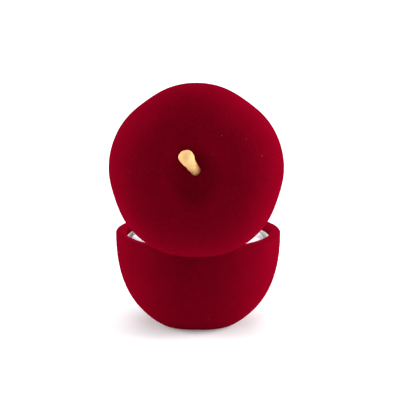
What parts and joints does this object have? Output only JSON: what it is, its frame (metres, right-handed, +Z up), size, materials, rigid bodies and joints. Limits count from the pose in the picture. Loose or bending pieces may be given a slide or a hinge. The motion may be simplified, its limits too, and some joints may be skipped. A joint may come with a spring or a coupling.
{
  "type": "jewelry gift box",
  "caption": "Apple-shaped flocked ring box: a round lobed bowl and a domed lid with a stem, on a small rear snap hinge, with slotted white ring pads inside.",
  "frame": {"origin": "centre of the foot's flat resting face, on the table", "axes": "+Z up, -Y is the opening side, +Y is the hinge side, +X runs along the hinge axis"},
  "size_m": [0.059, 0.0805, 0.089],
  "materials": {
    "red_flock": "matte",
    "stem_resin": "matte",
    "bright_steel": "satin",
    "hinge_brass": "satin",
    "tray_card": "matte",
    "white_velvet": "matte"
  },
  "bodies": {
    "bowl": {"bowl_shell": "red_flock", "hinge_leaf_bowl": "hinge_brass", "hinge_pin": "bright_steel", "hinge_spring": "bright_steel", "bowl_tack_left": "bright_steel", "bowl_tack_right": "bright_steel", "insert_tray": "tray_card", "ring_pad_front": "white_velvet", "ring_pad_rear": "white_velvet"},
    "lid": {"lid_shell": "red_flock", "stem": "stem_resin", "stem_washer": "bright_steel", "hinge_leaf_lid": "hinge_brass", "lid_tack_left": "bright_steel", "lid_tack_right": "bright_steel", "lid_lining": "white_velvet"}
  },
  "joints": [
    {"name": "lid_hinge", "type": "hinge", "parent": "bowl", "child": "lid", "pos_m": [0, 0.0277, 0.0317], "axis": [1, 0, 0], "range_deg": [0, 84]}
  ]
}
